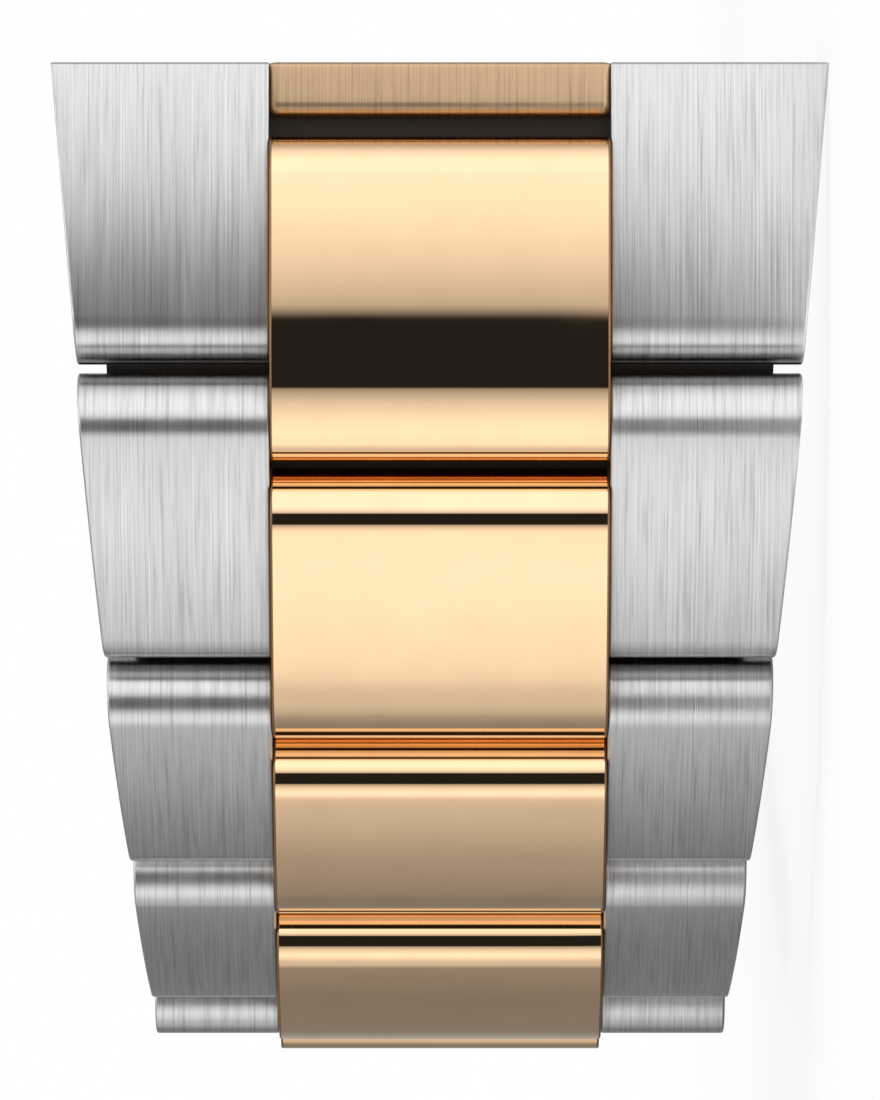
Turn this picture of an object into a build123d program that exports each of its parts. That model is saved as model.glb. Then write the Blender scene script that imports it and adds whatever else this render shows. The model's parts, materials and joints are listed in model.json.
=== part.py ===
from build123d import *
import math
import os

# Link watch bracelet: two halves of six rows each, joined by a folding clasp that is shut.
# The hinge axes stand upright, so the bracelet lies on one side, as it rests on a table.
# Lengths are in millimetres.

# Rows of links
ROWS = 6
PITCH = 8.97                    # hinge to hinge, from the link edges in the photograph
HINGE_R = 1.14                  # half the thickness of a link: its hinge end is a full round
OUTER_GAP = 0.24                # end of an outer link to the round end of the next one
CENTRE_GAP = 0.49               # the same on the centre links
CENTRE_TOP = 1.95               # height of the centre links' domed face above the hinge axes
CENTRE_ROLL = 1.20              # rolled-over upper end of a centre link
SHOULDER_R = 5.00               # where the dome turns down to the round hinge end
SIDE_GAP = 0.06                 # between the centre links and the outer links beside them
CENTRE_WIDTH = 8.70
CROWN_R = 30.0                  # crown of the outer face, along the bracelet
END_ROLL = 1.00                 # rolled-over end of a link
INNER_BEVEL = 0.35              # end of a link on the wrist side
WIDTH_AT_CLASP = 14.60
WIDTH_TAPER = 5.50              # extra width at the watch, which fades towards the clasp
TAPER_LENGTH = 62.0

# End row, which meets the watch
END_ROW_PITCH = 9.17            # free edge to the first hinge
BRIDGE_LENGTH = 1.42
END_CENTRE_START = 1.84         # where the first centre link begins
LUG_BORE_X = 3.15
LUG_BORE_R = 0.75
BRIDGE_EDGE = 0.20

# Pivot pins and locking keys
PIVOT_R = 0.60
PIVOT_SINK = 0.08               # how far the pivot's end lies below the face, which tapers
RUN_CLEARANCE = 0.03            # radial, where a link turns on its pin
FIX_CLEARANCE = 0.005           # radial, where a pin is driven in
KEY_THICK = 0.90
KEY_X = (2.80, 6.20)            # the hidden key that locks a row's three links, along the row
END_KEY_X = (4.50, 7.00)
BRIDGE_KEY_X = (0.35, 2.20)     # joins the bridge to the first centre link and closes the gap from behind
KEY_DEPTH = 1.50                # how far the keys reach into the outer links
KEY_END_GAP = 0.05
CLASP_PIN_SINK = 0.15

# Tilt of each row from the watch to the clasp, in degrees. The first four rows of the six o'clock
# half hang as the photograph shows them, the rest runs away behind them.
SIX_TILTS = (1.0, 36.0, 57.7, 66.7, 97.0, 97.0)
TWELVE_TILTS = (274.0, 268.0, 262.0, 256.0, 249.5, 243.0)

# Folding clasp: arcs about one centre. Places along it are lengths on its outer face.
CLASP_TILT = 75.5               # degrees
CLASP_R = 70.0
BLADE_HALF = 7.15               # half the width of both blades
BLADE_SIDE_GAP = 0.35           # between a blade's edge and the cover's wall
COVER_INNER_HALF = BLADE_HALF + BLADE_SIDE_GAP
COVER_PLATE = 1.20
COVER_DEPTH = 4.60
COVER_WALL = 0.75
COVER_EDGE = 0.60
COVER_END_SIX = -18.7
COVER_END_TWELVE = 21.7
BAR_PLACE = -17.7               # bar that carries the six o'clock half
BAR_DEPTH = 2.80
BAR_R = 0.50
BAR_STEP = 1.60                 # between the fine-adjustment holes
BAR_HOLES = 3
COVER_HINGE_PLACE = 19.7
COVER_HINGE_DEPTH = 2.40
COVER_KNUCKLE_R = 1.00
BLADE = 1.00
MIDDLE_DEPTH = 1.40             # top of the middle blade below the cover's face
LOWER_DEPTH = 3.60
BLADE_HINGE_PLACE = -11.2
BLADE_HINGE_DEPTH = 3.00
BLADE_KNUCKLE_R = 1.60
KNUCKLE_HALF = 3.00             # half length of the middle knuckle
KNUCKLE_GAP = 0.20
END_HINGE_PLACE = 23.3          # carries the twelve o'clock half
END_HINGE_DEPTH = 3.45
FORK_GAP = 0.15
FORK_CLEAR_R = 1.45
CLASP_PIN_R = 0.50
BLADE_PIN_R = 0.70
BUTTON_PLACE = 2.4
BUTTON_DEPTH = 2.90
BUTTON_R = 1.20
BUTTON_FLANGE_R = 1.48
BUTTON_FLANGE = 0.40
BUTTON_PROUD = 0.60
BUTTON_TRAVEL = 0.50
BUTTON_CLEARANCE = 0.05
BUTTON_SEAT_GAP = 0.05
NOTCH_HALF = 2.10
NOTCH_DEPTH = 2.10              # from the cover's wall, with room for a pressed button
NOTCH_FLOOR = COVER_INNER_HALF - NOTCH_DEPTH
BLADE_WINDOW_HALF = 3.40
BLADE_WINDOW_ENDS = (-4.0, 11.2)
PAST = 1.0                      # how far a cutter runs past the face that it leaves


def on_circle(centre, radius, degrees):
    """Point of a circle, the angle counted from +X."""
    a = math.radians(degrees)
    return (centre[0] + radius * math.cos(a), centre[1] + radius * math.sin(a))


def angle_of(centre, point):
    return math.degrees(math.atan2(point[1] - centre[1], point[0] - centre[0]))


def crown(c1, r1, c2, r2):
    """Circle of CROWN_R that wraps two end circles: its centre and where it leaves each one."""
    d1 = CROWN_R - r1
    d2 = CROWN_R - r2
    dx = c2[0] - c1[0]
    dy = c2[1] - c1[1]
    span = math.hypot(dx, dy)
    along = (d1 ** 2 - d2 ** 2 + span ** 2) / (2 * span)
    off = math.sqrt(d1 ** 2 - along ** 2)
    ux = dx / span
    uy = dy / span
    centre = (c1[0] + along * ux + off * uy, c1[1] + along * uy - off * ux)
    leave1 = on_circle(centre, CROWN_R, angle_of(centre, c1))
    leave2 = on_circle(centre, CROWN_R, angle_of(centre, c2))
    return centre, leave1, leave2


def round_end(x):
    """Hinge end of a link: one full round about the hinge."""
    return {"x": x, "top": HINGE_R, "low": HINGE_R, "face": None}


def square_end(x, inward, top, low):
    """Flat end at x, rolled over by top on the outer face and bevelled by low on the wrist side."""
    return {"x": x, "top": top, "low": low, "face": inward}


def top_centre(end):
    if end["face"] is None:
        return (end["x"], 0)
    return (end["x"] + end["face"] * end["top"], HINGE_R - end["top"])


def link_face(left, right):
    """Side view of a link, x along the bracelet and y outward from the wrist."""
    top_l = top_centre(left)
    top_r = top_centre(right)
    centre, leave_l, leave_r = crown(top_l, left["top"], top_r, right["top"])
    edges = []

    def arc(c, radius, a0, a1):
        if radius > 0:
            mid = on_circle(c, radius, (a0 + a1) / 2)
            edges.append(ThreePointArc(on_circle(c, radius, a0), mid, on_circle(c, radius, a1)))
        return on_circle(c, radius, a1)

    def lines(*points):
        for p, q in zip(points, points[1:]):
            if math.dist(p, q) > SIDE_GAP / 1000:
                edges.append(Line(p, q))

    def low_corner(end):
        """Points of the lower corner, from the underside up to the end face."""
        if end["face"] is None:
            return [(end["x"], -HINGE_R)]
        return [(end["x"] + end["face"] * end["low"], -HINGE_R), (end["x"], end["low"] - HINGE_R)]

    low_l = low_corner(left)
    low_r = low_corner(right)
    lift_l = angle_of(top_l, leave_l) if left["top"] > 0 else 90
    lift_r = angle_of(top_r, leave_r) if right["top"] > 0 else 90
    turn_r = -90 if right["face"] is None else 0
    turn_l = 270 if left["face"] is None else 180
    lines(low_l[0], *low_r)
    lines(low_r[-1], on_circle(top_r, right["top"], turn_r))
    arc(top_r, right["top"], turn_r, lift_r)
    arc(centre, CROWN_R, angle_of(centre, leave_r), angle_of(centre, leave_l))
    arc(top_l, left["top"], lift_l, turn_l)
    lines(on_circle(top_l, left["top"], turn_l), *reversed(low_l))
    return make_face(edges)


def domed_face(start, length):
    """Side view of a centre link, which stands proud of the outer links beside it."""
    roll = (start + CENTRE_ROLL, CENTRE_TOP - CENTRE_ROLL)
    drop = SHOULDER_R - CENTRE_TOP
    shoulder = (length - math.sqrt((SHOULDER_R - HINGE_R) ** 2 - drop ** 2), -drop)
    centre, leave_l, leave_r = crown(roll, CENTRE_ROLL, shoulder, SHOULDER_R)
    lift_l = angle_of(centre, leave_l)
    lift_r = angle_of(centre, leave_r)
    turn = angle_of(shoulder, (length, 0))
    hinge = (length, 0)

    def arc(c, radius, a0, a1):
        mid = on_circle(c, radius, (a0 + a1) / 2)
        return ThreePointArc(on_circle(c, radius, a0), mid, on_circle(c, radius, a1))

    edges = [arc(hinge, HINGE_R, -90, turn), arc(shoulder, SHOULDER_R, turn, lift_r),
             arc(centre, CROWN_R, lift_r, lift_l), arc(roll, CENTRE_ROLL, lift_l, 180)]
    edges += Polyline(on_circle(roll, CENTRE_ROLL, 180), (start, INNER_BEVEL - HINGE_R),
                      (start + INNER_BEVEL, -HINGE_R), (length, -HINGE_R)).edges()
    return make_face(edges)


def half_width(s):
    """Half the bracelet's width at a length s from its free edge."""
    return (WIDTH_AT_CLASP + WIDTH_TAPER * (1 - s / TAPER_LENGTH) ** 2) / 2


def row_start(n):
    """Length from the free edge to where row n's own x is zero."""
    return 0 if n == 1 else END_ROW_PITCH + (n - 2) * PITCH


def row_length(n):
    return END_ROW_PITCH if n == 1 else PITCH


def slab(face, z0, z1):
    return Pos(0, 0, z0) * extrude(face, amount=z1 - z0)


def rod(x, y, radius, z0, z1):
    return Pos(x, y, (z0 + z1) / 2) * Cylinder(radius, z1 - z0)


def outer_width_line(n):
    """Half width at row n's two ends, x and value, past its hinge ends."""
    x0 = 0 if n == 1 else -HINGE_R
    x1 = row_length(n) - HINGE_R - OUTER_GAP
    s = row_start(n)
    return (x0, half_width(s + x0)), (x1, half_width(s + x1))


def half_width_at(n, x):
    (x0, h0), (x1, h1) = outer_width_line(n)
    return h0 + (h1 - h0) * (x - x0) / (x1 - x0)


def key(x0, x1, z0, z1):
    """Flat bar across the row, or the slot that it needs."""
    return Pos((x0 + x1) / 2, 0, (z0 + z1) / 2) * Box(x1 - x0, KEY_THICK, z1 - z0)


def key_ends(n):
    """Where row n's keys lie along the row."""
    return [END_KEY_X, BRIDGE_KEY_X] if n == 1 else [KEY_X]


def key_slots(n, z0, z1):
    return [key(x0 - FIX_CLEARANCE, x1 + FIX_CLEARANCE, z0, z1) for x0, x1 in key_ends(n)]


def outer_links(n):
    """The two outer links of row n, which taper towards the clasp."""
    lower = square_end(row_length(n) - HINGE_R - OUTER_GAP, -1, END_ROLL, INNER_BEVEL)
    upper = square_end(0, 1, 0, 0) if n == 1 else round_end(0)
    inner = CENTRE_WIDTH / 2 + SIDE_GAP
    (x0, h0), (x1, h1) = outer_width_line(n)
    grow = (h1 - h0) / (x1 - x0)
    body = slab(link_face(upper, lower), inner, h0 + PAST)
    wedge = make_face(Polyline((x0 - PAST, inner - PAST), (x1 + PAST, inner - PAST),
                               (x1 + PAST, h1 + grow * PAST), (x0 - PAST, h0 - grow * PAST), close=True))
    body = body & extrude(Plane.XZ * wedge, amount=CROWN_R, both=True)
    body = body.solids()[0]
    for slot in key_slots(n, inner - PAST, inner + KEY_DEPTH):
        body -= slot
    if n == 1:
        body -= rod(LUG_BORE_X, 0, LUG_BORE_R, inner - PAST, h0 + PAST)
    else:
        body -= rod(0, 0, PIVOT_R + FIX_CLEARANCE, inner - PAST, h0 + PAST)
    body = body.solids()[0]
    return [body, mirror(body, about=Plane.XY)]


def centre_link(n):
    """Centre link of row n. Its far round end turns between the next two outer links."""
    length = row_length(n)
    start = END_CENTRE_START if n == 1 else HINGE_R + CENTRE_GAP
    half = CENTRE_WIDTH / 2
    if n == ROWS:  # the last row stays low, to pass the end of the clasp
        face = link_face(square_end(start, 1, END_ROLL, INNER_BEVEL), round_end(length))
    else:
        face = domed_face(start, length)
    body = slab(face, -half, half)
    for slot in key_slots(n, -half - PAST, half + PAST):
        body -= slot
    if n == 1:
        body -= rod(LUG_BORE_X, 0, LUG_BORE_R, -half - PAST, half + PAST)
    pin = BAR_R if n == ROWS else PIVOT_R
    body -= rod(length, 0, pin + RUN_CLEARANCE, -half - PAST, half + PAST)
    return [body.solids()[0]]


def end_bridge():
    """Short centre piece at the free edge, between the outer links of the end row."""
    half = CENTRE_WIDTH / 2
    face = link_face(square_end(0, 1, 0, 0), square_end(BRIDGE_LENGTH, -1, BRIDGE_EDGE, BRIDGE_EDGE))
    body = slab(face, -half, half) - key_slots(1, -half - PAST, half + PAST)[1]
    return [body.solids()[0]]


def row_pins(n):
    """Pivot pin of the row and the hidden keys that lock its links to each other."""
    reach = CENTRE_WIDTH / 2 + SIDE_GAP + KEY_DEPTH - KEY_END_GAP
    pins = [key(x0, x1, -reach, reach) for x0, x1 in key_ends(n)]
    if n > 1:
        face = half_width_at(n, 0) - PIVOT_SINK
        pins.append(rod(0, 0, PIVOT_R, -face, face))
    return pins


def on_clasp(depth, place):
    """Point of the clasp, at a depth below its face and a length along it from its middle."""
    a = place / CLASP_R
    return ((CLASP_R - depth) * math.sin(a), (CLASP_R - depth) * math.cos(a))


def band(depth0, depth1, place0, place1, half):
    """Curved plate between two depths and two places, symmetric about the middle plane."""
    mid = (place0 + place1) / 2
    edges = [ThreePointArc(on_clasp(depth0, place0), on_clasp(depth0, mid), on_clasp(depth0, place1)),
             Line(on_clasp(depth0, place1), on_clasp(depth1, place1)),
             ThreePointArc(on_clasp(depth1, place1), on_clasp(depth1, mid), on_clasp(depth1, place0)),
             Line(on_clasp(depth1, place0), on_clasp(depth0, place0))]
    return slab(make_face(edges), -half, half)


def clasp_cover():
    half = COVER_INNER_HALF + COVER_WALL
    body = band(0, COVER_DEPTH, COVER_END_SIX, COVER_END_TWELVE, half)
    long_edges = body.edges().filter_by(GeomType.CIRCLE).filter_by(
        lambda e: e.radius > CLASP_R - SIDE_GAP)
    body = chamfer(long_edges, COVER_EDGE)
    body -= band(COVER_PLATE, COVER_DEPTH + PAST, COVER_END_SIX - PAST, COVER_END_TWELVE + PAST,
                 COVER_INNER_HALF)
    for k in range(BAR_HOLES):
        x, y = on_clasp(BAR_DEPTH, BAR_PLACE + k * BAR_STEP)
        body -= rod(x, y, BAR_R + FIX_CLEARANCE, -half - PAST, half + PAST)
    x, y = on_clasp(COVER_HINGE_DEPTH, COVER_HINGE_PLACE)
    body -= rod(x, y, CLASP_PIN_R + FIX_CLEARANCE, -half - PAST, half + PAST)
    x, y = on_clasp(BUTTON_DEPTH, BUTTON_PLACE)
    body -= rod(x, y, BUTTON_R + BUTTON_CLEARANCE, -half - PAST, half + PAST)
    return [body.solids()[0]]


def notches(body):
    """Room in both edges of a blade for the push buttons."""
    cutter = band(0, COVER_DEPTH + PAST, BUTTON_PLACE - NOTCH_HALF,
                  BUTTON_PLACE + NOTCH_HALF, BLADE_HALF + PAST)
    keep = band(0, COVER_DEPTH + PAST, BUTTON_PLACE - 2 * NOTCH_HALF,
                BUTTON_PLACE + 2 * NOTCH_HALF, NOTCH_FLOOR)
    return body - (cutter - keep)


def middle_blade():
    """Blade that hangs from the cover and carries the lower blade."""
    hinge = on_clasp(COVER_HINGE_DEPTH, COVER_HINGE_PLACE)
    knee = on_clasp(BLADE_HINGE_DEPTH, BLADE_HINGE_PLACE)
    body = band(MIDDLE_DEPTH, MIDDLE_DEPTH + BLADE, BLADE_HINGE_PLACE, COVER_HINGE_PLACE, BLADE_HALF)
    body -= band(0, COVER_DEPTH, BLADE_WINDOW_ENDS[0], BLADE_WINDOW_ENDS[1], BLADE_WINDOW_HALF)
    body = notches(body)
    body += rod(hinge[0], hinge[1], COVER_KNUCKLE_R, -BLADE_HALF, BLADE_HALF)
    body += rod(knee[0], knee[1], BLADE_KNUCKLE_R, -BLADE_HALF, BLADE_HALF)
    room = BLADE_KNUCKLE_R + KNUCKLE_GAP
    gap_half = KNUCKLE_HALF + KNUCKLE_GAP
    body -= rod(knee[0], knee[1], room, -gap_half, gap_half)
    body -= rod(hinge[0], hinge[1], CLASP_PIN_R + RUN_CLEARANCE, -BLADE_HALF - PAST, BLADE_HALF + PAST)
    body -= rod(knee[0], knee[1], BLADE_PIN_R + FIX_CLEARANCE, -BLADE_HALF - PAST, BLADE_HALF + PAST)
    return [body.solids()[0]]


def lower_blade():
    """Blade that folds back under the middle one, with a fork for the twelve o'clock half."""
    knee = on_clasp(BLADE_HINGE_DEPTH, BLADE_HINGE_PLACE)
    end = on_clasp(END_HINGE_DEPTH, END_HINGE_PLACE)
    body = band(LOWER_DEPTH, LOWER_DEPTH + BLADE, BLADE_HINGE_PLACE, END_HINGE_PLACE, BLADE_HALF)
    body = notches(body)
    room = BLADE_KNUCKLE_R + KNUCKLE_GAP
    body -= rod(knee[0], knee[1], room, -BLADE_HALF - PAST, BLADE_HALF + PAST)
    arm = band(LOWER_DEPTH, LOWER_DEPTH + BLADE, BLADE_HINGE_PLACE, 0, KNUCKLE_HALF)
    body += arm + rod(knee[0], knee[1], BLADE_KNUCKLE_R, -KNUCKLE_HALF, KNUCKLE_HALF)
    body += rod(end[0], end[1], HINGE_R, -BLADE_HALF, BLADE_HALF)
    fork_half = CENTRE_WIDTH / 2 + FORK_GAP
    body -= rod(end[0], end[1], FORK_CLEAR_R, -fork_half, fork_half)
    body -= rod(end[0], end[1], BAR_R + FIX_CLEARANCE, -BLADE_HALF - PAST, BLADE_HALF + PAST)
    body -= rod(knee[0], knee[1], BLADE_PIN_R + RUN_CLEARANCE, -KNUCKLE_HALF - PAST, KNUCKLE_HALF + PAST)
    return [body.solids()[0]]


def through_pin(point, radius, half):
    reach = half - CLASP_PIN_SINK
    return [rod(point[0], point[1], radius, -reach, reach)]


def push_button(sign):
    """Side button of the clasp. Its flange keeps it in the wall."""
    x, y = on_clasp(BUTTON_DEPTH, BUTTON_PLACE)
    wall = COVER_INNER_HALF
    inner = wall - BUTTON_SEAT_GAP - BUTTON_FLANGE
    outer = wall + COVER_WALL + BUTTON_PROUD
    body = rod(x, y, BUTTON_R, inner, outer)
    body += rod(x, y, BUTTON_FLANGE_R, inner, inner + BUTTON_FLANGE)
    body = body.solids()[0]
    return [body if sign > 0 else mirror(body, about=Plane.XY)]


def turned(point, degrees):
    a = math.radians(degrees)
    return (point[0] * math.cos(a) - point[1] * math.sin(a),
            point[0] * math.sin(a) + point[1] * math.cos(a))


def chain(start, sign, tilts):
    """Where each row starts, counted back from its hinge at the clasp.

    sign is -1 on the six o'clock side and 1 on the twelve o'clock side."""
    points = {}
    x, y = start
    for n in range(ROWS, 0, -1):
        a = math.radians(tilts[n - 1])
        x -= sign * row_length(n) * math.cos(a)
        y -= row_length(n) * math.sin(a)
        points[n] = (x, y)
    return points


SIX_START = turned(on_clasp(BAR_DEPTH, BAR_PLACE), CLASP_TILT)
TWELVE_START = turned(on_clasp(END_HINGE_DEPTH, END_HINGE_PLACE), CLASP_TILT)
SIX_ROWS = chain(SIX_START, -1, SIX_TILTS)
TWELVE_ROWS = chain(TWELVE_START, 1, TWELVE_TILTS)


def placed(solids, side, n):
    """Put a row's own solids in their place. The twelve o'clock half is built as a mirror image."""
    if side == "six":
        x, y = SIX_ROWS[n]
        return [Pos(x, y, 0) * Rot(0, 0, 180 - SIX_TILTS[n - 1]) * s for s in solids]
    x, y = TWELVE_ROWS[n]
    moved = [Pos(-x, y, 0) * Rot(0, 0, 180 - TWELVE_TILTS[n - 1]) * s for s in solids]
    return [mirror(s, about=Plane.YZ) for s in moved]


def build():
    nodes = {}
    for n in range(1, ROWS + 1):
        pieces = {"outer_links": outer_links(n), "centre_link": centre_link(n), "pins": row_pins(n)}
        if n == 1:
            pieces["end_bridge"] = end_bridge()
        for side in ("six", "twelve"):
            for name, solids in pieces.items():
                nodes[f"{side}_row{n}_{name}"] = placed(solids, side, n)
    half = COVER_INNER_HALF + COVER_WALL
    clasp = {
        "clasp_cover": clasp_cover(),
        "clasp_middle_blade": middle_blade(),
        "clasp_lower_blade": lower_blade(),
        "cover_hinge_pin": through_pin(on_clasp(COVER_HINGE_DEPTH, COVER_HINGE_PLACE), CLASP_PIN_R, half),
        "blade_hinge_pin": through_pin(on_clasp(BLADE_HINGE_DEPTH, BLADE_HINGE_PLACE), BLADE_PIN_R, BLADE_HALF),
        "end_hinge_pin": through_pin(on_clasp(END_HINGE_DEPTH, END_HINGE_PLACE), BAR_R, BLADE_HALF),
        "adjuster_bar": through_pin(on_clasp(BAR_DEPTH, BAR_PLACE), BAR_R, half),
        "push_button_near": push_button(-1),
        "push_button_far": push_button(1),
    }
    for name, solids in clasp.items():
        nodes[name] = [Rot(0, 0, CLASP_TILT) * s for s in solids]
    return nodes


def main():
    nodes = build()
    box = Compound([s for solids in nodes.values() for s in solids]).bounding_box()
    shift = Pos(-(box.min.X + box.max.X) / 2, -(box.min.Y + box.max.Y) / 2, -box.min.Z)
    os.makedirs("parts", exist_ok=True)
    for name, solids in nodes.items():
        moved = [shift * s for s in solids]
        export_step(Compound(children=moved), f"parts/{name}.step")
    print("nodes", len(nodes))
    print("box", [round(v, 3) for v in (box.size.X, box.size.Y, box.size.Z)])
    print("shift", [round(v, 5) for v in tuple(shift.position)])


main()
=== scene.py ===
# %% [markdown]
# Link watch bracelet
#
# The bracelet has two halves of six rows. A row is a polished gold centre link between two brushed
# steel outer links, and a folding clasp joins the halves. The CAD model gives the place of every
# hinge. This file dresses it: rounded links, screws, finishes, light and camera.

import bpy
import bmesh
import json
import math
from mathutils import Matrix, Vector

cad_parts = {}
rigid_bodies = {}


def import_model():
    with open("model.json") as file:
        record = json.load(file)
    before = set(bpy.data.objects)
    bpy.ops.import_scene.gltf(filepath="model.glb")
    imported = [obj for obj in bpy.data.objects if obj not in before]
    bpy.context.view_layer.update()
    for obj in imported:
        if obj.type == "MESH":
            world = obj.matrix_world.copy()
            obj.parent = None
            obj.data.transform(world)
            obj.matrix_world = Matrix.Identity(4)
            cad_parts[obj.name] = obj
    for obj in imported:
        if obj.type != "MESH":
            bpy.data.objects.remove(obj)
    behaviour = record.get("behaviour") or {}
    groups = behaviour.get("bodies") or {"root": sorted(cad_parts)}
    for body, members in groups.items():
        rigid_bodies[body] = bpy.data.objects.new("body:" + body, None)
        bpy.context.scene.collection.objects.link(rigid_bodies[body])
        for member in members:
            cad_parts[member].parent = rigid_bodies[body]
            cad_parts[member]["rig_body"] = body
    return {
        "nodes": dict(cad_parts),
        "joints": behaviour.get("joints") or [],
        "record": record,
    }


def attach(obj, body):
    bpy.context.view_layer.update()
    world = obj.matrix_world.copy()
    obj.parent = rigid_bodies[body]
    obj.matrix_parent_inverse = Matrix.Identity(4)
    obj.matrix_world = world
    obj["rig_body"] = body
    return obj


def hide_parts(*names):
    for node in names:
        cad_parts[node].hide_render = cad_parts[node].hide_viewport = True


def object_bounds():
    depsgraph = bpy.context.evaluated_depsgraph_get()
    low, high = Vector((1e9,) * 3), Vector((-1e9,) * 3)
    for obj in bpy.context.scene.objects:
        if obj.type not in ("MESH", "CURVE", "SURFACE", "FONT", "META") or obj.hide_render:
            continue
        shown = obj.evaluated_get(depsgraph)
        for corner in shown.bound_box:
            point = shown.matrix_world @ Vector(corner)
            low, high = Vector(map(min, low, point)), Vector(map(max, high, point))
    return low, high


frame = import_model()
cad_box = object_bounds()
scene = bpy.context.scene
MM = 0.001
JOINTS = {j["name"]: j for j in frame["joints"]}
MOUNTS = {m["name"]: m for m in frame["record"]["mounts"]}


def placed(name, data):
    """A new object in the scene."""
    obj = bpy.data.objects.new(name, data)
    scene.collection.objects.link(obj)
    return obj


# %% [markdown]
# Where each row lies
#
# A row starts at one hinge and ends at the next. Reading both hinges from the frame, and not from
# numbers typed again, keeps the dressing on the CAD links. The first row has no hinge at its free
# edge, so its direction comes from the bore for the watch's spring bar and its own hinge.

# %% Row frames
SIDES = ("six", "twelve")
ROWS = 6
PITCH = 8.97                       # mm, hinge to hinge
END_ROW = 9.17                     # mm, free edge to the first hinge
LUG_BORE_X = 3.15                  # mm, free edge to the bore for the watch's spring bar


def row_frame(side, n):
    """Matrix from a row's own millimetres to the scene: x along the row, y outward, z sideways."""
    end = Vector(JOINTS[f"{side}_row{n}_hinge"]["pos_m"])
    if n == 1:
        start = Vector(MOUNTS[f"{side}_lug_bore"]["pos_m"])
        length = (END_ROW - LUG_BORE_X) * MM
    else:
        start = Vector(JOINTS[f"{side}_row{n - 1}_hinge"]["pos_m"])
        length = PITCH * MM
    x_axis = (end - start) / length
    x_axis.z = 0
    x_axis.normalize()
    turn = 1 if side == "six" else -1
    y_axis = Vector((-x_axis.y * turn, x_axis.x * turn, 0))
    z_axis = x_axis.cross(y_axis)
    row_length = END_ROW if n == 1 else PITCH
    origin = end - x_axis * row_length * MM
    rotation = Matrix((x_axis, y_axis, z_axis)).transposed().to_4x4()
    middle = Vector((origin.x, origin.y, (cad_box[0][2] + cad_box[1][2]) / 2))
    return Matrix.Translation(middle) @ rotation @ Matrix.Scale(MM, 4)


FRAMES = {(side, n): row_frame(side, n) for side in SIDES for n in range(1, ROWS + 1)}
print("first row starts at", [round(v / MM, 2) for v in FRAMES["six", 1].translation])

# %% [markdown]
# The outline of a link
#
# Seen from the side, a link has a flat underside, a gently crowned top and one end that is a full
# round about a hinge. The outline is a list of points that runs over the top and back along the
# underside with the same number each way, because the flat sides are closed later by joining each
# top point to its partner below. A drawn curve could give the points too. Arcs of true circles were
# chosen because every size stays a number that can be changed.

# %% Arcs, crowns and closed outlines
HINGE_R = 1.14                     # mm, full round at the hinge, half the thickness
CROWN_R = 30.0                     # mm, the gentle curve along the top
EDGE_BREAK = 0.12                  # mm, corners of the straight cut end


def arc(centre, radius, a0, a1, steps):
    """Points of an arc, angles in degrees from +x."""
    angles = [math.radians(a0 + (a1 - a0) * k / steps) for k in range(steps + 1)]
    return [(centre[0] + radius * math.cos(a), centre[1] + radius * math.sin(a)) for a in angles]


def angle_to(centre, point):
    return math.degrees(math.atan2(point[1] - centre[1], point[0] - centre[0]))


def crowned(c1, r1, c2, r2, stop, steps):
    """A top: the corner about c1, the crown that wraps both corners, the corner about c2 to stop."""
    d1, d2 = CROWN_R - r1, CROWN_R - r2
    dx, dy = c2[0] - c1[0], c2[1] - c1[1]
    span = math.hypot(dx, dy)
    along = (d1 ** 2 - d2 ** 2 + span ** 2) / (2 * span)
    off = math.sqrt(d1 ** 2 - along ** 2)
    centre = (c1[0] + (along * dx + off * dy) / span, c1[1] + (along * dy - off * dx) / span)
    lift_1, lift_2 = angle_to(centre, c1), angle_to(centre, c2)
    crown = arc(centre, CROWN_R, lift_1, lift_2, steps[1])
    return arc(c1, r1, 180, lift_1, steps[0]) + crown[1:-1] + arc(c2, r2, lift_2, stop, steps[2])


def spread(a, b, count):
    """count points between a and b, without the two."""
    return [(a[0] + (b[0] - a[0]) * k / (count + 1), a[1] + (b[1] - a[1]) * k / (count + 1))
            for k in range(1, count + 1)]


def closed(over, right_end, left_end):
    """over plus an underside with as many points: right_end, evenly spread points, left_end."""
    gap = len(over) - len(right_end) - len(left_end)
    return over + right_end + spread(right_end[-1], left_end[0], gap) + left_end


def square_start(x, low):
    """Underside points of a square left end with a small radius."""
    return arc((x + low, low - HINGE_R), low, 270, 180, 6)


print("points of a half round", len(arc((0, 0), HINGE_R, 180, 0, 12)))

# %% [markdown]
# The steel outer link from the side
#
# Its upper end is the full round. The lower end has a rolled-over corner above and is hollow below,
# so that it wraps the round end of the next link with an even gap. A thin lip under that round end
# keeps light from coming through, so the gap looks black from the front.

# %% Outline of an outer link
OUTER_ROLL = 1.40                  # mm, rolled-over corner at the lower end
LIP_END = 224                      # degrees about the next hinge, where the hollow stops
LIP_TIP = 0.06                     # mm, how far the lip runs on past the hollow
LIP_CORNER = 0.05                  # mm, cut corners of the lip
ROLL_STEPS = 12


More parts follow.
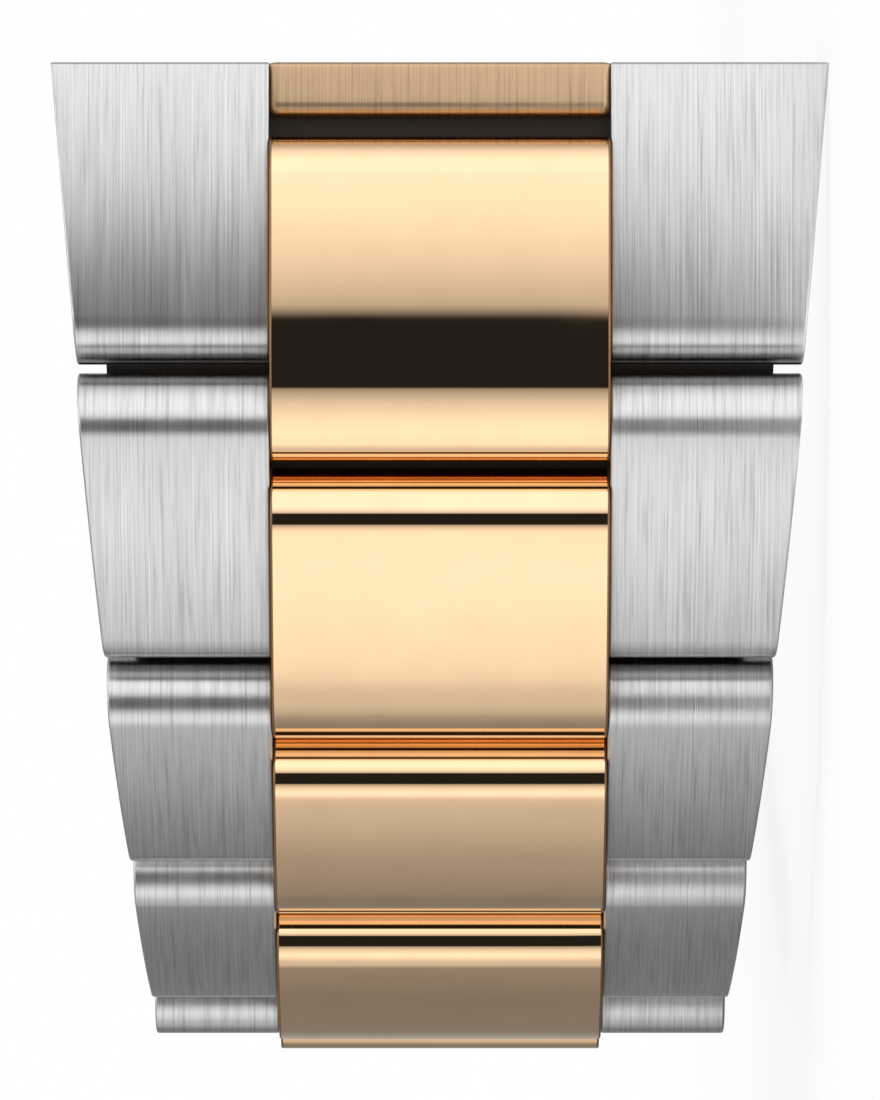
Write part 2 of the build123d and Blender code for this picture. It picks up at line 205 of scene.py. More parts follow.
def outer_outline(left_round, end_x, hinge_x, roll):
    """Outer link: its lower end is hollow about the next hinge, with a lip that closes the gap."""
    top = (end_x - roll, HINGE_R - roll)
    left = (0, 0, HINGE_R) if left_round else (EDGE_BREAK, HINGE_R - EDGE_BREAK, EDGE_BREAK)
    stop = max(0.0, math.degrees(math.asin((roll - HINGE_R) / roll)))
    over = crowned(left, left[2], top, roll, stop, (10, 18, ROLL_STEPS))
    hollow = arc((hinge_x, 0), hinge_x - end_x, 180, LIP_END, 8)
    lip_x = hollow[-1][0] + LIP_TIP
    lip = [(lip_x, hollow[-1][1] - LIP_CORNER), (lip_x, -HINGE_R + LIP_CORNER),
           (lip_x - LIP_CORNER, -HINGE_R)]
    right_end = [hollow[0]] * (ROLL_STEPS + 1) + hollow[1:] + lip
    left_end = arc((0, 0), HINGE_R, 270, 180, 10) if left_round else square_start(0, EDGE_BREAK)
    return closed(over, right_end, left_end)


print("outer outline points", len(outer_outline(True, 7.59, PITCH, OUTER_ROLL)))

# %% [markdown]
# The gold pieces from the side
#
# A centre link stands proud of the steel as a low dome: a roll, the crown, and a shoulder that turns
# down to the round hinge end. The dome decides where the dark bands of the reflection fall. In the
# last row the link stays low, to pass the end of the clasp. The bridge is a short bar that closes
# the straight end.

# %% Outlines of the gold pieces
CENTRE_TOP = 1.95                  # mm, top of the dome above the hinge
CENTRE_ROLL = 1.05                 # mm, roll at the start of the dome
SHOULDER_R = 5.00                  # mm, shoulder between dome and hinge end
LOW_ROLL = 1.0                     # mm, roll of the low link in the last row
INNER_BEVEL = 0.35                 # mm, corner on the wrist side
SHADED_END_TOP = 0.45                    # mm, up to here the end face is matt and painted dark as shade
BRIDGE_ROLL = 0.42                 # mm, rolled edge of the bridge
BRIDGE_LOW = 0.2                   # mm, its lower corner


def centre_closed(over, start, hinge_x):
    left_end = square_start(start, INNER_BEVEL) + [(start, SHADED_END_TOP)]
    return closed(over, arc((hinge_x, 0), HINGE_R, 0, -90, 10)[1:], left_end)


def low_centre_outline(start, hinge_x):
    roll = (start + LOW_ROLL, HINGE_R - LOW_ROLL)
    over = crowned(roll, LOW_ROLL, (hinge_x, 0), HINGE_R, 0, (12, 12, 12))
    return centre_closed(over, start, hinge_x)


def centre_outline(start, hinge_x):
    roll = (start + CENTRE_ROLL, CENTRE_TOP - CENTRE_ROLL)
    drop = SHOULDER_R - CENTRE_TOP
    shoulder = (hinge_x - math.sqrt((SHOULDER_R - HINGE_R) ** 2 - drop ** 2), -drop)
    turn = angle_to(shoulder, (hinge_x, 0))
    over = crowned(roll, CENTRE_ROLL, shoulder, SHOULDER_R, turn, (12, 12, 8))
    over += arc((hinge_x, 0), HINGE_R, turn, 0, 10)[1:]
    return centre_closed(over, start, hinge_x)


def bridge_outline(width):
    corner, edge = (EDGE_BREAK, HINGE_R - EDGE_BREAK), (width - BRIDGE_ROLL, HINGE_R - BRIDGE_ROLL)
    over = crowned(corner, EDGE_BREAK, edge, BRIDGE_ROLL, 0, (6, 6, 10))
    right_end = arc((width - BRIDGE_LOW, BRIDGE_LOW - HINGE_R), BRIDGE_LOW, 0, -90, 5)
    return closed(over, right_end, square_start(0, EDGE_BREAK))


print("centre outline points", len(centre_outline(1.9, END_ROW)))

# %% [markdown]
# Which way is inward
#
# A polisher rounds the side edges of a link. A bevel would do it too, but it breaks where the lip
# gets thin. Instead every outline point knows which way is inward, and the side rings shrink that
# way. At the free edge, where the bracelet is cut straight, the rounding runs out.


# %% Inward directions
LIP_ZONE = 0.3                     # mm, from here on a point belongs to the lip
FADE_LENGTH = 0.5                  # mm, over which the rounding runs out at the free edge


def neighbour(points, k, step):
    """The next outline point that isn't the same place."""
    other = k
    while math.dist(points[other], points[k]) < 1e-6:
        other = (other + step) % len(points)
    return points[other]


def inward_directions(points, free_edge=None, lip=None):
    """lip is (hinge x, hollow radius): the thin lip draws back along the link instead of thinning."""
    result = []
    for k, here in enumerate(points):
        before, after = neighbour(points, k, -1), neighbour(points, k, 1)
        tx, ty = after[0] - before[0], after[1] - before[1]
        size = math.hypot(tx, ty)
        way = (ty / size, -tx / size)
        if lip and here[0] > lip[0] - lip[1] - LIP_ZONE and here[1] < 0.001:
            share = min(1.0, -here[1] / HINGE_R)
            way = (-1.0 - 0.2 * share, 0.75 * share ** 2)
        fade = 1.0
        if free_edge is not None:
            fade = min(1.0, 0.25 + abs(here[0] - free_edge) / FADE_LENGTH)
        result.append((way[0] * fade, way[1] * fade, 0))
    return result


def outline_object(name, points, free_edge=None, lip=None):
    """A loop of vertices that carries each point's inward direction."""
    mesh = bpy.data.meshes.new(name)
    loop = [(k, (k + 1) % len(points)) for k in range(len(points))]
    mesh.from_pydata([(x, y, 0) for x, y in points], loop, [])
    inward = mesh.attributes.new("inward", "FLOAT_VECTOR", "POINT")
    for item, direction in zip(inward.data, inward_directions(points, free_edge, lip)):
        item.vector = direction
    return placed(name, mesh)


print("first inward direction", inward_directions(bridge_outline(1.4))[0])

# %% [markdown]
# A Geometry Nodes tree that makes a link
#
# All links follow one rule: the outline is repeated in rings from one side face to the other, the
# first and last rings shrink inward on a quarter circle to round the side edges, and the outer side
# face leans with the bracelet's taper. A grid has just the right vertices for this. Each of them is
# moved to its ring and outline point, the doubles are merged, and the link can be mirrored.


# %% Helpers for node trees
def plug(tree, value, socket):
    if isinstance(value, bpy.types.NodeSocket):
        tree.links.new(value, socket)
    else:
        socket.default_value = value


def add_node(tree, kind, inputs=None, **settings):
    """A node with these settings, and with plain values or other nodes' outputs at its inputs."""
    made = tree.nodes.new(kind)
    for key, value in settings.items():
        setattr(made, key, value)
    for key, value in (inputs or {}).items():
        plug(tree, value, made.inputs[key])
    return made


def maths(tree, operation, *values):
    made = add_node(tree, "ShaderNodeMath", dict(enumerate(values)), operation=operation)
    return made.outputs[0]


def vector_maths(tree, operation, inputs):
    return add_node(tree, "ShaderNodeVectorMath", inputs, operation=operation).outputs[0]


def new_tree(name, inputs):
    """A geometry tree with a geometry input and output and these named inputs."""
    tree = bpy.data.node_groups.new(name, "GeometryNodeTree")
    tree.interface.new_socket("Geometry", in_out="INPUT", socket_type="NodeSocketGeometry")
    for title, kind in inputs:
        tree.interface.new_socket(title, in_out="INPUT", socket_type="NodeSocket" + kind)
    tree.interface.new_socket("Geometry", in_out="OUTPUT", socket_type="NodeSocketGeometry")
    given = add_node(tree, "NodeGroupInput").outputs
    result = add_node(tree, "NodeGroupOutput").inputs["Geometry"]
    return tree, given, result


def hand_out(tree, geometry, given, result):
    """Ends a geometry tree: real geometry in the material that was given."""
    real = add_node(tree, "GeometryNodeRealizeInstances", {0: geometry})
    coated = add_node(tree, "GeometryNodeSetMaterial",
                      {"Geometry": real.outputs[0], "Material": given["Material"]})
    plug(tree, coated.outputs[0], result)


print("helpers", add_node.__name__, maths.__name__, new_tree.__name__)

# %% [markdown]
# The link's tree works in this order: which ring and which outline point a vertex has, how far its
# ring is drawn inward, its place between the two side faces, and the clean-up. The end rings fall on
# the line between top and bottom partner, which closes the side faces with neat quads.


# %% The link's tree
MERGE = 0.0004                     # mm, vertices closer than this become one


def link_tree():
    tree, given, result = new_tree("link", [
        ("Near Face", "Float"), ("Far Face Start", "Float"), ("Far Face End", "Float"),
        ("Start X", "Float"), ("End X", "Float"), ("Edge Radius", "Float"), ("Edge Steps", "Int"),
        ("Both Sides", "Bool"), ("Material", "Material")])
    outline = given["Geometry"]
    size = add_node(tree, "GeometryNodeAttributeDomainSize", {0: outline})
    points = size.outputs["Point Count"]
    steps = given["Edge Steps"]
    rings = maths(tree, "ADD", maths(tree, "MULTIPLY", steps, 2), 4)
    around = maths(tree, "ADD", points, 1)
    grid = add_node(tree, "GeometryNodeMeshGrid", {"Vertices X": rings, "Vertices Y": around})
    index = add_node(tree, "GeometryNodeInputIndex").outputs[0]
    ring = maths(tree, "FLOOR", maths(tree, "DIVIDE", maths(tree, "ADD", index, 0.5), around))
    column = maths(tree, "SUBTRACT", index, maths(tree, "MULTIPLY", ring, around))
    here = maths(tree, "MODULO", column, points)
    partner = maths(tree, "SUBTRACT", maths(tree, "SUBTRACT", points, 1), here)
    last = maths(tree, "SUBTRACT", rings, 1)
    far = maths(tree, "GREATER_THAN", ring, maths(tree, "DIVIDE", last, 2))
    from_face = maths(tree, "MINIMUM", ring, maths(tree, "SUBTRACT", last, ring))
    past_cap = maths(tree, "MAXIMUM", maths(tree, "SUBTRACT", from_face, 1), 0)
    quarter = maths(tree, "DIVIDE", past_cap, steps)
    turn = maths(tree, "MULTIPLY", quarter, math.pi / 2)
    edge = given["Edge Radius"]
    inset = maths(tree, "MULTIPLY", edge, maths(tree, "SUBTRACT", 1, maths(tree, "SINE", turn)))
    depth = maths(tree, "MULTIPLY", edge, maths(tree, "SUBTRACT", 1, maths(tree, "COSINE", turn)))

    sources = (add_node(tree, "GeometryNodeInputPosition").outputs[0],
               add_node(tree, "GeometryNodeInputNamedAttribute", {"Name": "inward"},
                        data_type="FLOAT_VECTOR").outputs[0])

    def outline_point(which):
        place, way = (add_node(tree, "GeometryNodeSampleIndex",
                               {"Geometry": outline, "Index": which, "Value": value},
                               data_type="FLOAT_VECTOR").outputs[0] for value in sources)
        shift = vector_maths(tree, "SCALE", {0: way, "Scale": inset})
        return vector_maths(tree, "ADD", {0: place, 1: shift})

    own = outline_point(here)
    both = vector_maths(tree, "ADD", {0: own, 1: outline_point(partner)})
    across = vector_maths(tree, "SCALE", {0: both, "Scale": 0.5})
    is_cap = maths(tree, "LESS_THAN", from_face, 0.5)
    choose = add_node(tree, "ShaderNodeMix", {0: is_cap, 4: own, 5: across}, data_type="VECTOR")
    x, y, _ = add_node(tree, "ShaderNodeSeparateXYZ", {0: choose.outputs[1]}).outputs
    share = maths(tree, "DIVIDE", maths(tree, "SUBTRACT", x, given["Start X"]),
                  maths(tree, "SUBTRACT", given["End X"], given["Start X"]))
    taper = maths(tree, "SUBTRACT", given["Far Face End"], given["Far Face Start"])
    lean = maths(tree, "MULTIPLY", taper, share)
    far_z = maths(tree, "SUBTRACT", maths(tree, "ADD", given["Far Face Start"], lean), depth)
    near_z = maths(tree, "ADD", given["Near Face"], depth)
    z = maths(tree, "ADD", maths(tree, "MULTIPLY", far, far_z),
              maths(tree, "MULTIPLY", maths(tree, "SUBTRACT", 1, far), near_z))
    place = add_node(tree, "ShaderNodeCombineXYZ", {0: x, 1: y, 2: z}).outputs[0]
    moved = add_node(tree, "GeometryNodeSetPosition",
                     {"Geometry": grid.outputs["Mesh"], "Position": place})
    merged = add_node(tree, "GeometryNodeMergeByDistance",
                      {"Geometry": moved.outputs[0], "Distance": MERGE}).outputs[0]
    mirrored = add_node(tree, "GeometryNodeTransform", {"Geometry": merged, "Scale": (1, 1, -1)})
    flipped = add_node(tree, "GeometryNodeFlipFaces", {0: mirrored.outputs[0]})
    pair = add_node(tree, "GeometryNodeJoinGeometry")
    tree.links.new(merged, pair.inputs[0])
    tree.links.new(flipped.outputs[0], pair.inputs[0])
    pick = add_node(tree, "GeometryNodeSwitch",
                    {"Switch": given["Both Sides"], "False": merged, "True": pair.outputs[0]},
                    input_type="GEOMETRY")
    smooth = add_node(tree, "GeometryNodeSetShadeSmooth", {0: pick.outputs[0]})
    hand_out(tree, smooth.outputs[0], given, result)
    return tree


LINK = link_tree()
print("link tree nodes", len(LINK.nodes))

# %% [markdown]
# Finishes
#
# Brushed steel is bare metal with fine parallel scratches. The scratches run along the bracelet, so
# they follow each link as it turns, and the pattern is read from the link's own map and not from its
# place. Scratches spread a reflection sideways, which the anisotropic setting gives, and a stretched
# noise adds the single lines that the eye can still see.


# %% Brushed metal
# noise cells per mm, across the strokes and along them
LINES, HAZE, STREAKS = (24.0, 0.07, 1.0), (0.8, 0.10, 1.0), (13.0, 0.30, 1.0)


def metal(name, colour, roughness):
    mat = bpy.data.materials.new(name)
    mat.use_nodes = True
    tree = mat.node_tree
    shader = tree.nodes["Principled BSDF"]
    shader.inputs["Metallic"].default_value = 1.0
    shader.inputs["Base Color"].default_value = (*colour, 1)
    shader.inputs["Roughness"].default_value = roughness
    return mat, tree, shader


def ramp(tree, factor, stops):
    made = add_node(tree, "ShaderNodeValToRGB", {0: factor})
    marks = made.color_ramp.elements
    while len(marks) < len(stops):
        marks.new(0.5)
    for mark, (place, colour) in zip(marks, stops):
        mark.position = place
        mark.color = (*colour, 1) if isinstance(colour, tuple) else (colour, colour, colour, 1)
    return made.outputs[0]


def stretched_noise(tree, source, scale, detail):
    mapping = add_node(tree, "ShaderNodeMapping", {"Vector": source, "Scale": scale})
    noise = add_node(tree, "ShaderNodeTexNoise",
                     {"Vector": mapping.outputs[0], "Scale": 1.0, "Detail": detail})
    return noise.outputs[0]


def brushed(name, colour, roughness, anisotropy, depth):
    """Scratches, depth in m: the map's first direction runs across the link, the second along it."""
    mat, tree, shader = metal(name, colour, roughness)
    uv = add_node(tree, "ShaderNodeUVMap", uv_map="brush").outputs[0]
    lines = stretched_noise(tree, uv, LINES, 4.0)
    haze = stretched_noise(tree, uv, HAZE, 2.0)
    streaks = stretched_noise(tree, uv, STREAKS, 5.0)
    low = tuple(c * 0.82 for c in colour)
    high = tuple(min(1.0, c * 1.12) for c in colour)
    fine = ramp(tree, lines, [(0.3, low), (0.7, high)])
    worn = ramp(tree, streaks, [(0.30, 0.74), (0.50, 0.98), (0.72, 1.0)])
    mixed = add_node(tree, "ShaderNodeMix", {0: 1.0, 6: fine, 7: worn}, data_type="RGBA",
                     blend_type="MULTIPLY")
    plug(tree, mixed.outputs[2], shader.inputs["Base Color"])
    rough = maths(tree, "ADD", roughness - 0.08, maths(tree, "MULTIPLY", haze, 0.16))
    plug(tree, rough, shader.inputs["Roughness"])
    shader.inputs["Anisotropic"].default_value = anisotropy
    tangent = add_node(tree, "ShaderNodeTangent", direction_type="UV_MAP", uv_map="brush")
    plug(tree, tangent.outputs[0], shader.inputs["Tangent"])
    height = maths(tree, "ADD", lines, streaks)
    bump = add_node(tree, "ShaderNodeBump", {"Distance": depth, "Strength": 0.5, "Height": height})
    plug(tree, bump.outputs[0], shader.inputs["Normal"])
    return mat


steel_brushed = brushed("steel_brushed", (0.62, 0.62, 0.625), 0.30, 0.6, 0.000008)
gold_brushed = brushed("gold_brushed", (0.575, 0.395, 0.245), 0.38, 0.6, 0.000006)
print("brushed", steel_brushed.name, gold_brushed.name)

# %% [markdown]
# Polished and turned metal
#
# Polished gold is smooth, with a little wear that barely changes the roughness. Pins, blades and
# buttons are turned or polished steel. They read Object coordinates, because they are plain parts
# that no brush has followed. The end faces between two links are matt and lie in deep shade: their
# darker colours are painted shade. The near-black steel and the darker side gold are painted shade
# too.


# %% Polished and turned metal
CLOUDS = (700.0, 700.0, 700.0)     # noise cells per m


def polished(name, colour, roughness, wear):
    """wear is how much rougher the most worn spots are."""
    mat, tree, shader = metal(name, colour, roughness)
    place = add_node(tree, "ShaderNodeTexCoord").outputs["Object"]
    cloud = stretched_noise(tree, place, CLOUDS, 5.0)
    dark = tuple(c * 0.96 for c in colour)
    plug(tree, ramp(tree, cloud, [(0.35, dark), (0.65, colour)]), shader.inputs["Base Color"])
    rough = maths(tree, "ADD", roughness, maths(tree, "MULTIPLY", cloud, wear))
    plug(tree, rough, shader.inputs["Roughness"])
    return mat


gold_polished = polished("gold_polished", (0.89, 0.62, 0.38), 0.02, 0.03)
steel_polished = polished("steel_polished", (0.62, 0.615, 0.605), 0.12, 0.10)
pin_steel = polished("pin_steel", (0.52, 0.515, 0.51), 0.22, 0.12)
# Painted shade: near-black steel for the inside of the hollows and the end rows' pins, where only
# shade falls.
painted_shade_steel = polished("painted_shade_steel", (0.035, 0.028, 0.022), 0.45, 0.12)
# Painted shade: darker gold for the outer strip of the centre links, a dark seam against the steel.
painted_shade_gold_edge = polished("painted_shade_gold_edge", (0.34, 0.20, 0.10), 0.34, 0.10)
# Painted shade: near-black gold for the lower end faces between links; its roughness makes them matt.
matt_painted_shade_gold = polished("matt_painted_shade_gold", (0.10, 0.05, 0.022), 0.42, 0.10)
print("materials in the file", len(bpy.data.materials))

# %% [markdown]
# From a modifier to a plain mesh
#
# The part is used outside Blender, so a link can't stay a live tree. The evaluated object becomes a
# plain mesh. It is moved to its place in its own vertices, gets the map that the scratches follow,
# and rides on its row's body.


# %% Bake, map and mount
SIDEWAYS = 0.7                     # a face whose normal has more z than this is a side face


def set_inputs(modifier, tree, values):
    for item in tree.interface.items_tree:
        if item.item_type == "SOCKET" and item.in_out == "INPUT" and item.name in values:
            modifier[item.identifier] = values[item.name]


def map_brush(mesh):
    """Brush map in the row's millimetres: first across the strokes, then along them over the ends."""
    brush = mesh.uv_layers.new(name="brush")
    spots = [v.co for v in mesh.vertices]
    middle = (min(p.x for p in spots) + max(p.x for p in spots)) / 2
    top = max(p.y for p in spots)
    for face in mesh.polygons:
        sideways = abs(face.normal.z) > SIDEWAYS
        turn = 1 if face.center.x < middle else -1
        for k in face.loop_indices:
            x, y, z = spots[mesh.loops[k].vertex_index]
            brush.data[k].uv = (y, x) if sideways else (z, x + turn * (y - top))


def bake(source, name, place):
    """A new object with source's evaluated mesh, moved by the matrix place into the scene."""
    weighted = source.modifiers.new("flat faces stay flat", "WEIGHTED_NORMAL")
    weighted.keep_sharp = True
    bpy.context.view_layer.update()
    graph = bpy.context.evaluated_depsgraph_get()
    mesh = bpy.data.meshes.new_from_object(source.evaluated_get(graph), depsgraph=graph)
    map_brush(mesh)
    mesh.transform(place)
    mesh.name = name
    obj = placed(name, mesh)
    cut = [m.object for m in source.modifiers if m.type == "BOOLEAN"]
    bpy.data.objects.remove(source)
    for tool in cut:
        if tool and tool.name in bpy.data.objects:
            bpy.data.objects.remove(tool)
    return obj


def volume(mesh):
    """Volume in cubic metres: it shows at once when a face is missing or turned inside out."""
    work = bmesh.new()
    work.from_mesh(mesh)
    result = work.calc_volume(signed=True)
    work.free()
    return result


def paint_shade_faces(obj, finish, place, inside):
    """Gives finish, a dark colour that is painted shade, to faces whose corners and centre pass
    inside(x, y, z), in the row's mm.
    """
    obj.data.materials.append(finish)
    back = place.inverted()
    spots = [back @ v.co for v in obj.data.vertices]
    wanted = [inside(p.x, p.y, p.z) for p in spots]
    for face in obj.data.polygons:
        if all(wanted[k] for k in face.vertices) and inside(*(back @ face.center)):
            face.material_index = len(obj.data.materials) - 1


def mount(obj, node, slot_name):
    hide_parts(node)
    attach(obj, frame["nodes"][node]["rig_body"])
    return obj


print("from tree to part", bake.__name__, paint_shade_faces.__name__, mount.__name__)

# %% [markdown]
# The outer links
#
# The steel links taper with the bracelet, from 20 mm at the watch to 15 mm at the clasp. The taper
# is a curve: the width falls fast near the watch and hardly at all near the clasp. Each link's side
# face is the straight line between two points of that curve.

# %% Sizes of the outer links
WIDTH_AT_CLASP = 14.60             # mm
WIDTH_TAPER = 5.50                 # mm wider at the watch
TAPER_LENGTH = 62.0                # mm
CENTRE_WIDTH = 8.70                # mm, the gold link
SIDE_GAP = 0.06                    # mm, between gold and steel
OUTER_GAP = 0.24                   # mm, between one steel link and the next


def half_width(s):
    return (WIDTH_AT_CLASP + WIDTH_TAPER * (1 - s / TAPER_LENGTH) ** 2) / 2


def side_line(n):
    """Where row n's side face starts and ends: x and half width at both."""
    start = 0 if n == 1 else END_ROW + (n - 2) * PITCH
    x0 = 0 if n == 1 else -HINGE_R
    x1 = (END_ROW if n == 1 else PITCH) - HINGE_R - OUTER_GAP
    return x0, half_width(start + x0), x1, half_width(start + x1)


def face_at_hinge(n):
    """Half width at row n's upper hinge, and the slope of its side face."""
    x0, h0, x1, h1 = side_line(n)
    return h0 + (h1 - h0) * (0 - x0) / (x1 - x0), (h1 - h0) / (x1 - x0)


print("widths", [round(2 * side_line(n)[1], 2) for n in range(1, ROWS + 1)])

# %% [markdown]
# A link is grown from its outline by the tree. A boolean then cuts what a drill would: the seat of
# the screw, in the end row the bore for the watch's spring bar, and the relief that keeps the lip
# out of sight from the side. A cutter is thrown away after it has cut.


# %% Grow a link and cut its bores
def cutter(name, rods):
    """One mesh of cylinders (x, y, radius, z0, z1) for a boolean."""
    work = bmesh.new()
    for x, y, radius, z0, z1 in rods:
        place = Matrix.Translation((x, y, (z0 + z1) / 2))
        bmesh.ops.create_cone(work, cap_ends=True, segments=40, radius1=radius, radius2=radius,
                              depth=z1 - z0, matrix=place)
    mesh = bpy.data.meshes.new(name)
    work.to_mesh(mesh)
    work.free()
    return placed(name, mesh)


def grown_link(name, outline, free_edge, values, rods, lip=None):
    source = outline_object(name + "_outline", outline, free_edge, lip)
    tree = source.modifiers.new("link", "NODES")
    tree.node_group = LINK
    set_inputs(tree, LINK, values)
    if rods:
        cut = source.modifiers.new("bore", "BOOLEAN")
        cut.operation = "DIFFERENCE"
        cut.solver = "EXACT"
        cut.object = cutter(name + "_rods", rods)
        cut.object.hide_render = True
    return source


print("ready to grow", grown_link.__name__)

# %% [markdown]
# Left and right link of a row are one object, mirrored in the tree. The inside of the hollow is
# painted black as shade, because no light gets back out of so narrow a gap.

# %% Make the outer links
SIDE_EDGE = 0.07                   # mm, broken edge of the side faces
SEAT_R = 0.70                      # mm, seat of the screw head
SEAT_DEPTH = 0.16                  # mm
LUG_BORE_R = 0.75                  # mm
BORE_REACH = 11.0                  # mm, cutters end outside the bracelet
RELIEF_BACK, RELIEF_DOWN, RELIEF_R = 1.08, 0.78, 0.62   # mm, relief of the lip, from the next hinge
RELIEF_DEPTH = 0.75                # mm in from the side face
RELIEF_REACH = 12.0                # mm
HOLLOW_SHADE_REACH = 0.03                # mm, the painted black shade reaches this far past the hollow
LUG_BORE = [(LUG_BORE_X, 0, LUG_BORE_R, -BORE_REACH, BORE_REACH)]


def outer_links(side, n):
    x0, h0, x1, h1 = side_line(n)
    hinge_x = END_ROW if n == 1 else PITCH
    outline = outer_outline(n > 1, x1, hinge_x, OUTER_ROLL)
    values = {"Near Face": CENTRE_WIDTH / 2 + SIDE_GAP, "Far Face Start": h0, "Far Face End": h1,
              "Start X": x0, "End X": x1, "Edge Radius": SIDE_EDGE, "Edge Steps": 5,
              "Both Sides": True, "Material": steel_brushed}
    face, _ = face_at_hinge(n)
    seats = [(0, 0, SEAT_R, face - SEAT_DEPTH, face + 1), (0, 0, SEAT_R, -face - 1, SEAT_DEPTH - face)]
    relief = (hinge_x - RELIEF_BACK, -RELIEF_DOWN, RELIEF_R)
    rods = (LUG_BORE if n == 1 else seats) + [(*relief, h1 - RELIEF_DEPTH, RELIEF_REACH),
                                              (*relief, -RELIEF_REACH, RELIEF_DEPTH - h1)]
    lip = (hinge_x, hinge_x - x1)
    source = grown_link(f"{side}_row{n}_outer", outline, 0 if n == 1 else None, values, rods, lip)
    obj = bake(source, f"{side}_row{n}_steel_pair", FRAMES[side, n])
    reach = hinge_x - x1 + HOLLOW_SHADE_REACH
    # Painted shade: the faces of the hollow about the next hinge are made near-black.
    paint_shade_faces(obj, painted_shade_steel, FRAMES[side, n], lambda x, y, z: math.hypot(x - hinge_x, y) < reach)
    return mount(obj, f"{side}_row{n}_outer_links", "steel_links")


outers = [outer_links(side, n) for side in SIDES for n in range(1, ROWS + 1)]
print("outer link faces", [len(o.data.polygons) for o in outers[:2]], "volume", volume(outers[1].data))

# %% [markdown]
# The centre links
#
# The gold links carry the hinge tongue, so their round end is the far one: it turns between the next
# two outer links. Their side edges are polished to a fine line, and the outermost strip of the link is
# painted a darker gold: painted shade, a dark seam against the steel.

# %% Make the centre links
CENTRE_GAP = 0.49                  # mm, between one gold link and the next, in the CAD
EARLIER = 0.32                     # mm, the photographed links start this much earlier
END_ROW_START = 1.90               # mm, free edge to the gold link of the end row
HALF = CENTRE_WIDTH / 2 + SIDE_GAP - 0.01   # mm, the gold nearly touches the steel
SIDE_SHADE_STRIP = 0.07                        # mm, strip of painted shade at the side
GOLD_EDGE = 0.06                   # mm, rounded side edges
SHADED_END_LENGTH = 0.4                  # mm, the matt end face with painted shade takes in this much of the link


def gold_values(start, end, radius, steps, finish):
    return {"Near Face": -HALF, "Far Face Start": HALF, "Far Face End": HALF, "Start X": start,
            "End X": end, "Edge Radius": radius, "Edge Steps": steps, "Both Sides": False,
            "Material": finish}


def centre_link(side, n):
    length = END_ROW if n == 1 else PITCH
    start = END_ROW_START if n == 1 else HINGE_R + CENTRE_GAP - EARLIER
    outline = low_centre_outline(start, length) if n == ROWS else centre_outline(start, length)
    values = gold_values(start, length, GOLD_EDGE, 3, gold_polished)
    source = grown_link(f"{side}_row{n}_centre", outline, None, values, LUG_BORE if n == 1 else [])
    obj = bake(source, f"{side}_row{n}_gold_centre", FRAMES[side, n])
    # Painted shade: a darker gold strip along both side edges.
    paint_shade_faces(obj, painted_shade_gold_edge, FRAMES[side, n], lambda x, y, z: abs(z) > HALF - SIDE_SHADE_STRIP)
    # Painted shade: the lower end face between links is near-black matt gold.
    paint_shade_faces(obj, matt_painted_shade_gold, FRAMES[side, n],
         lambda x, y, z: x < start + SHADED_END_LENGTH and y < SHADED_END_TOP + 0.01)
    return mount(obj, f"{side}_row{n}_centre_link", "gold_links")


centres = [centre_link(side, n) for side in SIDES for n in range(1, ROWS + 1)]
print("centre link faces", len(centres[0].data.polygons), "volume", volume(centres[1].data))

# %% [markdown]
# The end bridges
#
# At the watch a short gold bar fills the space between the two steel links, flush with the cut end.
# It isn't polished but brushed, in the same direction as the steel.

# %% Make the end bridges
BRIDGE_WIDTH = 1.42                # mm
BRIDGE_EDGE = 0.2                  # mm, rounded side edges


def end_bridge(side):
    values = gold_values(0, BRIDGE_WIDTH, BRIDGE_EDGE, 4, gold_brushed)
    source = grown_link(f"{side}_bridge", bridge_outline(BRIDGE_WIDTH), 0, values, [])
    obj = bake(source, f"{side}_row1_gold_bridge", FRAMES[side, 1])
    return mount(obj, f"{side}_row1_end_bridge", "gold_bridge")


bridges = [end_bridge(side) for side in SIDES]
print("bridges", len(bridges))

# %% [markdown]
# The pivot screws
#
# Each row turns on a screwed pin whose slotted heads sit in the side faces. A small tree puts a head
# on every point that it is given, tipped with the tapering face and turned by a random angle with a
# fixed seed, as screws stop where they are tight.


